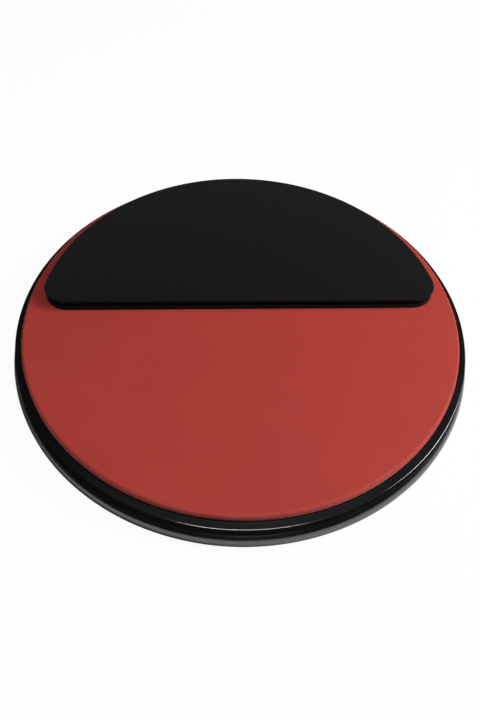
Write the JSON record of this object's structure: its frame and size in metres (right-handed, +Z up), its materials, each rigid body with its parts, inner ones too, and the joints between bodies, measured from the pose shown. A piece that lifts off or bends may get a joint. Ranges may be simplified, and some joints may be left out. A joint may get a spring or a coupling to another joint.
{
  "type": "drum practice pad",
  "caption": "Round drum practice pad: lacquered board with a moulded edge, rubber playing disc, soft half-moon pad, grip sheet and threaded stand insert.",
  "frame": {"origin": "middle of the underside, where the grip sheet lies on a table", "axes": "+Z up out of the playing surface, +Y away from the player towards the half-moon, +X to the player's right"},
  "size_m": [0.3049, 0.305, 0.0334],
  "materials": {
    "board_lacquer": "black satin lacquer",
    "playing_rubber": "smooth matte red silicone rubber",
    "foam_rubber": "matte black fine-celled foam rubber",
    "grip_rubber": "black textured non-slip rubber",
    "adhesive": "translucent double-sided adhesive film",
    "insert_brass": "turned brass"
  },
  "bodies": {
    "root": {"base_board": "board_lacquer", "playing_disc": "playing_rubber", "half_moon_pad": "foam_rubber", "disc_adhesive_sheet": "adhesive", "half_moon_adhesive_sheet": "adhesive", "grip_sheet": "grip_rubber", "grip_adhesive_sheet": "adhesive", "stand_insert": "insert_brass"}
  },
  "joints": []
}
